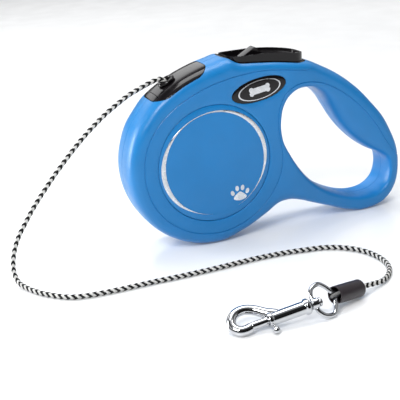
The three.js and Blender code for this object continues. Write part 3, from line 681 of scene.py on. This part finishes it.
def badge_place(u, v):
    """x, z of a point of the tilted badge, from its place along and across it."""
    cosine, sine = math.cos(BADGE["tilt"]), math.sin(BADGE["tilt"])
    return BADGE["x"] + u * cosine - v * sine, BADGE["z"] + u * sine + v * cosine


def badge_xz(grow):
    angles = full_turn(96)
    u, v = (BADGE["long"] + grow) * np.cos(angles), (BADGE["short"] + grow) * np.sin(angles)
    return np.column_stack(badge_place(u, v))


def recess(rim, depth):
    """A sunk floor under a rim with a small rounded lip, on the flat of the disc."""
    centre = rim.mean(0)
    levels = [(0, 0), (RECESS_LIP * 0.3, RECESS_LIP * 0.1), (RECESS_LIP, RECESS_LIP), (RECESS_LIP, depth)]
    rings = []
    for inward, down in levels:
        outward = rim - centre
        flat = rim - outward / np.linalg.norm(outward, axis=1)[:, None] * inward
        rings.append(np.column_stack([flat[:, 0], np.full(len(rim), HALF_THICKNESS - down), flat[:, 1]]))
    points, faces, _ = tube_faces(rings, False)
    return points, faces[:-2] + [faces[-1]], None


OUTER = outline_of([*nose_points(), *OUTER_POINTS], 420, 1)
LOOP = outline_of(LOOP_POINTS, 240, -1)


def skin(wall, half, steps, spacing, holes=(), chamfer=0.0):
    """One side's rings round the outline and the loop, and the surface through them."""
    outer = outline_rings(OUTER, wall, half, steps, chamfer)
    loop = outline_rings(LOOP, wall, half, steps, chamfer)
    rims = [loop[-1][:, [0, 2]], *holes]
    face = filled(outer[-1][:, [0, 2]], rims, half, spacing)
    return outer, loop, joined(strip(outer), strip(loop), face)


def shell_shape():
    """The +Y shell: outer skin, inner skin, parting faces and the recesses of the cover and badge."""
    cover, oval = circle_xz(COVER_RADIUS + GAP), badge_xz(GAP)
    outer, loop, outside = skin(0, HALF_THICKNESS, 16, 2.6, [cover, oval], SEAM_CHAMFER)
    inner_outer, inner_loop, inner = skin(WALL, INNER_HALF, 6, 6)
    parting = joined(strip([outer[0], inner_outer[0]]), strip([loop[0], inner_loop[0]]))
    return joined(outside, inner, parting, recess(cover, COVER_DEPTH), recess(oval, BADGE["depth"]))


def body_shape():
    """The whole outside as one filled solid, for the inserts that follow its skin."""
    outer, loop, outside = skin(0, HALF_THICKNESS, 16, 3)
    across = np.array([1, -1, 1])
    bands = [strip([rings[0], rings[0] * across]) for rings in (outer, loop)]
    return joined(outside, flipped(outside), *bands)


def flipped(shape):
    """The mirror image on the other side."""
    points, faces, marks = shape
    return [(x, -y, z) for x, y, z in points], [face[::-1] for face in faces], marks


def outlet_prism(grow):
    """The outlet's seat, from its floor to well above the skin."""
    outline = rounded_rectangle(-OUTLET["long"] - grow, OUTLET["long"] + grow, OUTLET["half"] + grow,
                                OUTLET["corner"] + grow)
    pose = Matrix.Translation((OUTLET["x"], 0, OUTLET["z"])) @ Matrix.Rotation(-OUTLET["tilt"], 4, "Y")
    return moved(prism(outline, -OUTLET["depth"] - grow, 12), pose)


def button_prism(grow, low, high):
    outline = rounded_rectangle(BUTTON["front"] - grow, BUTTON["rear"] + grow, BUTTON["half"] + grow,
                                BUTTON["corner"] + grow)
    return prism(outline, low, high)


def cutter(shape):
    return mesh_piece("cutter", shape, LOOKS["housing_blue"])


def groove_tool(surface, side):
    """A thin tube along the groove's path, lying on the shell's surface."""
    path = spline(GROOVE_POINTS, 460)
    tree = BVHTree.FromObject(surface, bpy.context.evaluated_depsgraph_get())
    places = []
    for x, z in path:
        start = Vector(((x - CENTRE_X) * MM, side * 0.05, z * MM))
        hit, *_ = tree.ray_cast(start, Vector((0, -side, 0)))
        if hit is not None:
            places.append((x, hit.y / MM, z))
    taper = np.minimum(1, np.arange(len(places)) / 12 + 0.15)
    return cutter(sweep(places, GROOVE_RADIUS * taper, 8, first_normal=(0, 1, 0)))


def screw_tools(side):
    """Posts to add and counterbores to cut for the screws' heads, on the screws' own side."""
    posts, holes = [], []
    for x, z in SCREW_PLACES:
        thin = float(thinning(x))
        top, seat = INNER_HALF * thin + 0.2, SCREW["seat"] * thin
        post = [(SCREW["post"], 1), (SCREW["post"], top)]
        hole = [(SCREW["shaft"], 0.5), (SCREW["shaft"], seat), (SCREW["head"], seat), (SCREW["head"], 20)]
        posts.append(along_y(lathe(post, 40), x, z, side))
        holes.append(along_y(lathe(rounded(hole, 0.1), 40), x, z, side))
    return cutter(joined(*posts)), cutter(joined(*holes))


def make_shell(name, side):
    shape = shell_shape() if side > 0 else flipped(shell_shape())
    piece = mesh_piece(name, shape, LOOKS["housing_blue"])
    groove = groove_tool(piece, side)
    if side > 0:
        posts, holes = screw_tools(side)
        boolean(piece, "UNION", posts)
        boolean(piece, "DIFFERENCE", holes)
    outlet_seat = cutter(outlet_prism(GAP))
    button_seat = cutter(button_prism(2 * GAP + BEZEL["wall"], BEZEL["bottom"] - GAP, 110))
    boolean(piece, "DIFFERENCE", outlet_seat, button_seat, groove)
    floor_cut = cutter(prism([(-60, -20), (130, -20), (130, 20), (-60, 20)], -20, 0))
    boolean(piece, "DIFFERENCE", floor_cut)
    smooth(piece, 28)
    return stand_for(piece, "housing", [name])


# ---- covers and badges ----
def crown_height(radius):
    """The cover's surface over the flat side."""
    share = radius / (COVER_RADIUS - 0.9)
    return HALF_THICKNESS + COVER_CROWN * (1 - share * share)


def make_cover(name, side):
    seat, edge = HALF_THICKNESS - COVER_DEPTH + GAP, HALF_THICKNESS - 0.35
    crown = [(r, crown_height(r)) for r in np.linspace(COVER_RADIUS - 0.9, 0.01, 14)]
    profile = [(0.01, seat), (COVER_RADIUS, seat), (COVER_RADIUS, edge), *crown]
    head = rounded(profile[:4], 0.25)
    piece = mesh_piece(name, along_y(lathe([*head[:-1], *profile[3:]], 180), 0, AXLE_HEIGHT, side),
                       LOOKS["cover_blue"])
    return stand_for(piece, "housing", [name])


def swirl_shape(side):
    """A raised silver crescent on the cover, wide at the lower left and the upper right."""
    profile = [(-0.5, -0.1), (-0.5, 0.12), (-0.42, 0.17), (0.42, 0.17), (0.5, 0.12), (0.5, -0.1)]
    split = SWIRL["split"]
    rings = []
    for t in np.linspace(0, 1, 200):
        angle = math.radians(SWIRL["first"] + SWIRL["turn"] * t)
        width = SWIRL["thin"] + SWIRL["left"] * math.sin(math.pi * min(1, t / split)) ** 2 * (t < split)
        width += SWIRL["right"] * math.sin(math.pi * np.clip((t - split) / 0.5, 0, 1)) ** 2
        width *= min(1, 8 * t + 0.05, 8 * (1 - t) + 0.05)
        middle = SWIRL["radius"] + 0.5 * (width - 1)
        section = []
        for across, rise in profile:
            radius = middle + across * width
            lift = crown_height(radius) + rise
            section.append((radius * math.cos(angle), side * lift, AXLE_HEIGHT + radius * math.sin(angle)))
        rings.append(section)
    return tube_faces(rings, False)


def print_shape(outlines, height, side):
    """Flat raised marks from closed outlines of (x, z) pairs, on a surface of height(x, z)."""
    shapes = []
    for outline in outlines:
        rings = [[(x, side * (height(x, z) + rise), z) for x, z in outline] for rise in (-0.12, 0.09)]
        shapes.append(tube_faces(rings, False))
    return joined(*shapes)


def ellipse(x, z, a, b, turn):
    cosine, sine = math.cos(turn), math.sin(turn)
    points = []
    for angle in full_turn(40):
        u, v = a * math.cos(angle), b * math.sin(angle)
        points.append((x + u * cosine - v * sine, z + u * sine + v * cosine))
    return points


def paw_outlines():
    """A plain paw print: one pad and four toes."""
    x, z, size = PAW["x"], PAW["z"], PAW["size"]
    pad = [(x + size * (0.95 * math.cos(a) + 0.14 * math.cos(3 * a)),
            z + size * (0.72 * math.sin(a) - 0.12 * math.cos(2 * a))) for a in full_turn(60)]
    toes = [(-1.25, 0.75, 0.4), (-0.46, 1.42, 0.12), (0.46, 1.42, -0.12), (1.25, 0.75, -0.4)]
    return [pad, *(ellipse(x + size * u, z + size * v, size * 0.3, size * 0.44, turn) for u, v, turn in toes)]


def make_cover_marks(name, side):
    def height(x, z):
        return crown_height(math.hypot(x, z - AXLE_HEIGHT))
    shape = joined(swirl_shape(side), print_shape(paw_outlines(), height, side))
    piece = mesh_piece(name, shape, EXTRA["silver_print"])
    return stand_for(piece, "housing", [])


def badge_height(u, v):
    """The badge's domed surface over the middle of the housing."""
    share = math.hypot(u / BADGE["long"], v / BADGE["short"])
    return HALF_THICKNESS - 0.1 + BADGE["crown"] * math.sqrt(max(0, 1 - share * share))


def on_badge(u, v, rise, side):
    x, z = badge_place(u, v)
    return x, side * (badge_height(u, v) + rise), z


def badge_ring(share, height, side):
    """An oval round the badge at a share of its size, on its surface where no height is given."""
    points = []
    for angle in full_turn(120):
        u, v = share * BADGE["long"] * math.cos(angle), share * BADGE["short"] * math.sin(angle)
        x, z = badge_place(u, v)
        points.append((x, side * (height if height is not None else badge_height(u, v)), z))
    return points


def make_badge(name, side):
    back = HALF_THICKNESS - BADGE["depth"] + GAP
    levels = [(0.02, back), (1, back), (1, HALF_THICKNESS - 0.25)]
    rings = [badge_ring(share, height, side) for share, height in levels]
    rings += [badge_ring(math.sin(t), None, side) for t in np.linspace(math.pi / 2 - 0.06, 0.01, 16)]
    piece = mesh_piece(name, tube_faces(rings, False), LOOKS["gloss_black"])
    return stand_for(piece, "housing", [name])


def make_badge_marks(name, side):
    """A thin silver oval and a plain bone on the badge."""
    inner, outer, stretch = (BADGE_OVAL[key] for key in ("inner", "outer", "stretch"))
    oval = []
    for angle in full_turn(140):
        section = []
        for share, rise in ((inner, -0.08), (inner, 0.07), (outer, 0.07), (outer, -0.08)):
            u = share * BADGE["long"] * math.cos(angle)
            v = share * stretch * BADGE["short"] * math.sin(angle)
            section.append(on_badge(u, v, rise, side))
        oval.append(section)
    bone = []
    for end, edge, first in ((1, -1, -150), (1, 1, -45), (-1, 1, 30), (-1, -1, 135)):
        for angle in np.radians(np.linspace(first, first + BONE["sweep"], 16)):
            bone.append((end * BONE["long"] + BONE["knuckle"] * math.cos(angle),
                         edge * BONE["wide"] + BONE["knuckle"] * math.sin(angle)))
    rings = [[on_badge(u, v, rise, side) for u, v in bone] for rise in (-0.1, 0.08)]
    piece = mesh_piece(name, joined(tube_faces(oval, True), tube_faces(rings, False)), EXTRA["silver_print"])
    return stand_for(piece, "housing", [])


# ---- outlet, button and lock ----
def outlet_solid():
    """The part of the filled body that lies in the outlet's seat, a little proud of the skin."""
    body = mesh_piece("outlet_solid", body_shape(), LOOKS["gloss_black"])
    return boolean(body, "INTERSECT", cutter(outlet_prism(0)))


def eyelet_pose():
    return Matrix.Translation((EYELET["x"], 0, EYELET["z"])) @ Matrix.Rotation(-OUTLET["tilt"], 4, "Y")


def make_outlet():
    """The outlet insert in two pieces, cut across at its seam and open for the eyelet."""
    radius = EYELET["ring"] + 0.1
    hole = moved(lathe([(radius, -15), (radius, 15)], 64), eyelet_pose())
    spans = (("outlet_front_cap", -80, OUTLET_SEAM_X), ("outlet_body", OUTLET_SEAM_X + GAP, 40))
    for name, x0, x1 in spans:
        piece = outlet_solid()
        piece.name = name
        square = [(x0, -30), (x1, -30), (x1, 30), (x0, 30)]
        boolean(piece, "INTERSECT", cutter(prism(square, 40, 120)))
        boolean(piece, "DIFFERENCE", cutter(hole))
        bevelled(piece, 0.28, 2, 40)
        smooth(piece, 40)
        stand_for(piece, "housing", [name])


def make_eyelet():
    ring = EYELET["ring"]
    profile = [(2.3, -1.6), (ring - GAP, -1.6), (ring - GAP, 0.7), (ring + 0.9, 0.7), (ring + 1.1, 1.2),
               (ring + 0.7, 1.9), (ring - 0.1, 2.1), (ring - 0.7, 1.6), (2.4, 0.3)]
    fine = rounded([*profile, profile[0], profile[1]], 0.35)[1:-1]
    shape = moved(lathe(fine, 72, closed=True), eyelet_pose())
    piece = mesh_piece("eyelet", shape, LOOKS["gloss_black"], sharp=50)
    return stand_for(piece, "housing", ["outlet_eyelet"])


def button_side(drop, low, name):
    """A slab along y under the button's top curve, or from that curve up where low is above it."""
    top = spline([(x, z - drop) for x, z in BUTTON_TOP], 60)
    outline = [*map(tuple, top), (BUTTON["rear"] + 1, top[-1][1]), (BUTTON["rear"] + 1, low),
               (BUTTON["front"] - 1, low), (BUTTON["front"] - 1, top[0][1])]
    rings = [[(x, y, z) for x, z in outline] for y in (-12, 12)]
    return mesh_piece(name, tube_faces(rings, False), LOOKS["gloss_black"])


def make_button():
    low, high = 70, 110
    piece = button_side(0, BUTTON["bottom"], "brake_button")
    boolean(piece, "INTERSECT", cutter(button_prism(0, low, high)))
    dish = button_side(DISH_DEPTH, 100, "dish")
    boolean(dish, "INTERSECT", cutter(button_prism(-BUTTON["lip"], low, high)))
    front = cutter(prism([(0, -15), (TROUGH["end"], -15), (TROUGH["end"], 15), (0, 15)], 60, 120))
    trough = button_side(TROUGH["depth"], 100, "trough")
    boolean(trough, "INTERSECT", cutter(button_prism(-BUTTON["lip"], low, high)), front)
    boolean(piece, "DIFFERENCE", dish, trough)
    bevelled(piece, 0.32, 3, 30)
    smooth(piece, 40)
    weighted(piece)
    return stand_for(piece, "brake", ["brake_button"])


def make_bezel():
    piece = mesh_piece("button_bezel", body_shape(), LOOKS["gloss_black"])
    outer = cutter(button_prism(GAP + BEZEL["wall"], BEZEL["bottom"], 110))
    boolean(piece, "INTERSECT", outer)
    boolean(piece, "DIFFERENCE", cutter(button_prism(GAP, 60, 120)))
    bevelled(piece, 0.2, 2, 40)
    smooth(piece, 40)
    return stand_for(piece, "housing", ["button_bezel"])


def make_lock():
    outline = rounded([*LOCK_RIDGE, *LOCK_RIDGE[:2]], 0.5, 4)[1:-1]
    centre = np.array(LOCK_CENTRE)
    rings = []
    for share, inset in ((-1, 0.35), (-0.96, 0.1), (-0.86, 0), (0.86, 0), (0.96, 0.1), (1, 0.35)):
        ring = [tuple(centre + (np.array(p) - centre) * (1 - inset / 4)) for p in outline]
        rings.append([(x, share * LOCK_HALF, z) for x, z in ring])
    piece = mesh_piece("lock_ridge", tube_faces(rings, False), LOOKS["gloss_black"])
    return stand_for(piece, "lock", ["lock_slider"])


# ---- the cord, its sleeve and the snap ----
def strand(path, frames, turns, first, way):
    """One yarn of the braid: over in two quarters of the cord, under in the other two."""
    _, normals, binormals = frames
    count = len(path)
    angle = first + way * 2 * math.pi * turns * np.arange(count) / (count - 1)
    radius = BRAID["centre"] + way * BRAID["wave"] * np.sin(2 * angle)
    outward = normals * np.cos(angle)[:, None] + binormals * np.sin(angle)[:, None]
    centre = path + outward * radius[:, None]
    along = np.gradient(centre, axis=0)
    along /= np.linalg.norm(along, axis=1)[:, None]
    across = np.cross(along, outward)
    across /= np.linalg.norm(across, axis=1)[:, None]
    section = [(1, 0), (0.62, 0.8), (-0.62, 0.8), (-1, 0), (-0.62, -0.8), (0.62, -0.8)]
    rings = [centre + across * (BRAID["wide"] * u) + outward * (BRAID["thick"] * v) for u, v in section]
    return tube_faces(np.stack(rings, axis=1), False)


def make_cord():
    """The braided cord, with its centreline in metres and its length."""
    route = [*CORD_ROUTE, CORD_IN_SLEEVE]
    length = length_of(spline(route, 2000))
    turns = length / BRAID["pitch"]
    path = spline(route, int(turns * BRAID["samples"]))
    frames = frames_along(path, (0, -0.94, 0.34))
    shapes = []
    for way in (1, -1):
        for i in range(BRAID["strands"]):
            points, faces, _ = strand(path, frames, turns, i * math.pi / 2, way)
            shapes.append((points, faces, [i % 2] * len(faces)))
    points, faces, _ = sweep(spline(route, 160), CORE_RADIUS, 8)
    shapes.append((points, faces, [2] * len(faces)))
    looks = [EXTRA["yarn_black"], EXTRA["yarn_white"], EXTRA["core"]]
    piece = mesh_piece("cord_braid", joined(*shapes), *looks, sharp=80)
    stand_for(piece, "housing", ["free_cord"])
    centreline = [((x - CENTRE_X) * MM, y * MM, z * MM) for x, y, z in spline(route, 300)]
    return piece, centreline, length * MM


def sleeve_pose():
    turn = Matrix.Rotation(SLEEVE["yaw"], 4, "Z") @ Matrix.Rotation(SLEEVE["pitch"], 4, "Y")
    return Matrix.Translation((SLEEVE["x"], SLEEVE["y"], SLEEVE["z"])) @ turn


ALONG_X = Matrix.Rotation(math.pi / 2, 4, "Y")


def make_sleeve():
    radius, bore, cavity, length = (SLEEVE[key] for key in ("radius", "bore", "cavity", "length"))
    profile = [(0.01, cavity), (bore, cavity), (bore, 0), (radius - 0.05, 0), (radius, length * 0.5),
               (radius - 0.02, length - 0.9), (radius - 1, length), (1.5, length), (0.01, length)]
    piece = mesh_piece("sleeve", moved(lathe(rounded(profile, 0.5), 96), sleeve_pose() @ ALONG_X),
                       LOOKS["sleeve_black"], sharp=40)
    return stand_for(piece, "housing", ["cord_sleeve"])


def ring_pose():
    turn = Matrix.Rotation(RING["yaw"], 4, "Z") @ Matrix.Rotation(RING["tilt"], 4, "X")
    return Matrix.Translation((RING["x"], RING["y"], RING["z"])) @ turn


def snap_pose(roll=SNAP["roll"]):
    """Where the snap hangs on the ring's collar; its own -X points to the hook."""
    x = RING["x"] - RING["collar"] * math.cos(RING["yaw"])
    y = RING["y"] - RING["collar"] * math.sin(RING["yaw"])
    turn = (Matrix.Rotation(SNAP["yaw"], 4, "Z") @ Matrix.Rotation(SNAP["pitch"], 4, "Y")
            @ Matrix.Rotation(roll, 4, "X"))
    return Matrix.Translation((x, y, RING["z"])) @ turn


def make_ring():
    nose, collar, wire = RING["nose"], RING["collar"], RING["wire"]
    half = [(nose - 0.4, 0.9), (nose - 1.3, 1.5), (3.9, 1.95), (2.1, 4.6), (-0.4, 6.8), (-4.4, 6.1),
            (-6.5, 3.4)]
    there = [(x, y, 0) for x, y in half]
    back = [(x, -y, 0) for x, y in half[::-1]]
    points = [(nose, 0, 0), *there, (-collar, 0, 0), *back]
    bow = moved(sweep(spline(points, 200, closed=True), wire, 24, closed=True), ring_pose())
    piece = mesh_piece("ring_bow", bow, LOOKS["chrome"])
    tube = rounded([(0.01, -1.5), (2.3, -1.5), (2.3, 1.3), (0.01, 1.3)], 0.3)
    boolean(piece, "UNION", cutter(moved(lathe(tube, 64), snap_pose(0) @ ALONG_X)))
    boolean(piece, "DIFFERENCE", cutter(moved(lathe([(1.4, -4), (1.4, 4)], 48), snap_pose(0) @ ALONG_X)))
    smooth(painted(piece, LOOKS["chrome"]), 40)
    return stand_for(piece, "ring", ["swivel_ring"])


def make_snap_body():
    barrel, front, rear = SNAP["barrel"], SNAP["front"], SNAP["rear"]
    profile = [(0.01, front), (barrel - 0.1, front), (barrel, front + 0.6), (barrel, front + 1.4),
               (barrel - 0.4, front + 1.9), (barrel - 0.4, rear - 2.6), (barrel + 0.3, rear - 2),
               (barrel + 0.3, rear - 0.9), (barrel - 0.5, rear), (0.01, rear)]
    piece = mesh_piece("snap_case", moved(lathe(rounded(profile, 0.3), 72), snap_pose() @ ALONG_X),
                       LOOKS["chrome"])
    path = spline(BOW_POINTS, 120)
    share = np.linspace(0, 1, len(path))
    middle = np.array([-27, 3.8, 0])
    path = middle + (path - middle) * (1 - 0.06 * np.clip(share * 8, 0, 1))[:, None]
    radii = 2.05 + 0.2 * np.exp(-((share - 0.05) / 0.15) ** 2)
    bow = moved(sweep(path, radii, 28), snap_pose())
    boolean(piece, "UNION", cutter(bow))
    bore = [(SNAP["bore"], front - 1), (SNAP["bore"], rear - 4)]
    boolean(piece, "DIFFERENCE", cutter(moved(lathe(bore, 48), snap_pose() @ ALONG_X)))
    slot = prism([(front - 1, -6), (-8, -6), (-8, 0), (front - 1, 0)], -0.85, 0.85)
    boolean(piece, "DIFFERENCE", cutter(moved(slot, snap_pose())))
    smooth(painted(piece, LOOKS["chrome"]), 35)
    return stand_for(piece, "snap", ["snap_body"])


def make_snap_bolt():
    radius, ball_radius, drop = SNAP["bore"] - 0.25, SNAP["ball"], SNAP["drop"]
    rod = rounded([(0.01, -27.9), (radius, -27.9), (radius, -14.4), (0.01, -14.4)], 0.4)
    stem = lathe([(SNAP["stem"], 0), (SNAP["stem"], drop - 0.6)], 24)
    down = Matrix.Translation((SNAP["knob"], 0, 0)) @ Matrix.Rotation(math.pi / 2, 4, "X")
    ball = lathe([(ball_radius * math.sin(t), drop - ball_radius * math.cos(t))
                  for t in np.linspace(0.02, math.pi - 0.02, 20)], 32)
    shape = joined(moved(lathe(rod, 48), ALONG_X), moved(stem, down), moved(ball, down))
    piece = mesh_piece("snap_trigger", moved(shape, snap_pose()), LOOKS["chrome"], sharp=50)
    return stand_for(piece, "bolt", ["snap_bolt"])


def make_rivet():
    profile = [(0.01, -1.9), (0.95, -1.9), (0.95, 1.7), (1.9, 1.7), (1.9, 2.6), (1.2, 3.2), (0.01, 3.2)]
    shape = lathe(rounded(profile, 0.35), 48)
    piece = mesh_piece("rivet", moved(shape, snap_pose() @ ALONG_X), LOOKS["chrome"])
    return stand_for(piece, "snap", ["swivel_rivet"])


# ---- everything ----
def paint_cad_nodes():
    """Gives every carried-over CAD node the look of its slot."""
    for entry in frame["record"]["subparts"]:
        node = frame["nodes"][entry["node"]]
        smooth(painted(node, LOOKS[entry["material_slot"]]), 30)


def make_floor():
    data = bpy.data.meshes.new("floor")
    corners = [(x * FLOOR_REACH, y * FLOOR_REACH, 0) for x, y in ((-1, -1), (1, -1), (1, 1), (-1, 1))]
    data.from_pydata(corners, [], [(0, 1, 2, 3)])
    data.materials.append(EXTRA["floor"])
    placed("floor", data)


bpy.context.scene.view_settings.view_transform = "Standard"
make_camera()
cord, cord_path, cord_length = make_cord()
make_world()
make_lights()
make_floor()
paint_cad_nodes()
for prefix, way in (("left", -1), ("right", 1)):
    make_shell(f"{prefix}_shell", way)
    make_cover(f"{prefix}_disc_cover", way)
    make_cover_marks(f"{prefix}_cover_marks", way)
    make_badge(f"{prefix}_badge", way)
    make_badge_marks(f"{prefix}_badge_marks", way)
make_outlet()
make_eyelet()
make_bezel()
make_button()
make_lock()
sleeve = make_sleeve()
ring = make_ring()
snap = [make_snap_body(), make_snap_bolt(), make_rivet()]
